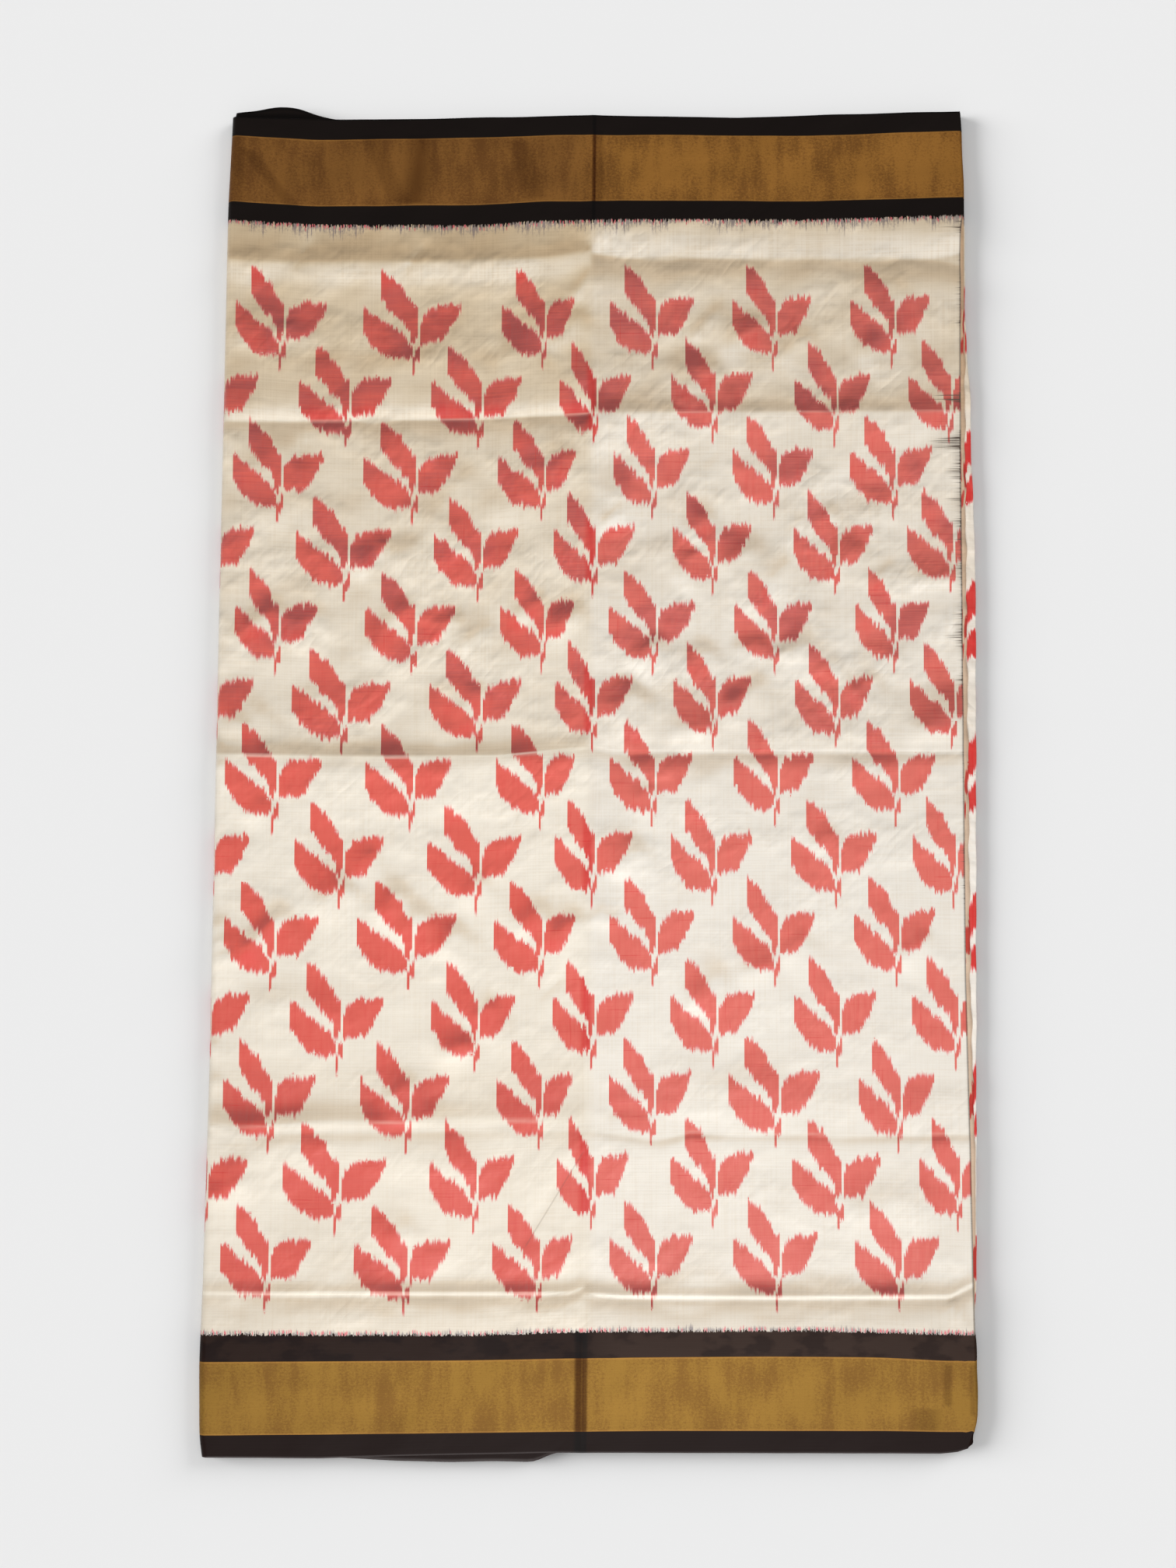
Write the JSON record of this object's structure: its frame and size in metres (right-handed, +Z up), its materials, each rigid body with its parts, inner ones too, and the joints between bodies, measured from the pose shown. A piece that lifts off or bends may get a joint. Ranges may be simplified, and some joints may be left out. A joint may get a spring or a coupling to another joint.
{
  "type": "folded silk sari",
  "caption": "Silk sari folded into a flat layered stack, cream with red leaf sprigs and black and gold woven borders.",
  "frame": {"origin": "middle of the footprint on the surface that the folded stack rests on", "axes": "+X along the cloth's length, from the outer fold at the left to the cut ends at the right; +Y across the cloth's width, from the nearer selvedge to the farther one; +Z up through the layers"},
  "size_m": [0.6596, 1.1638, 0.0162],
  "materials": {
    "top_cloth": "satin silk, cream with coral red leaf sprigs, black and gold thread borders",
    "second_cloth": "satin silk, cut end with loose warp threads",
    "fold_cloth": "satin silk, pressed fold",
    "under_cloth": "satin silk, pressed fold",
    "layer_edges": "black silk selvedges in layers"
  },
  "bodies": {
    "root": {"top_stretch": "top_cloth", "second_end": "second_cloth", "middle_fold": "fold_cloth", "under_stretch": "under_cloth", "folded_core": "layer_edges"}
  },
  "joints": []
}
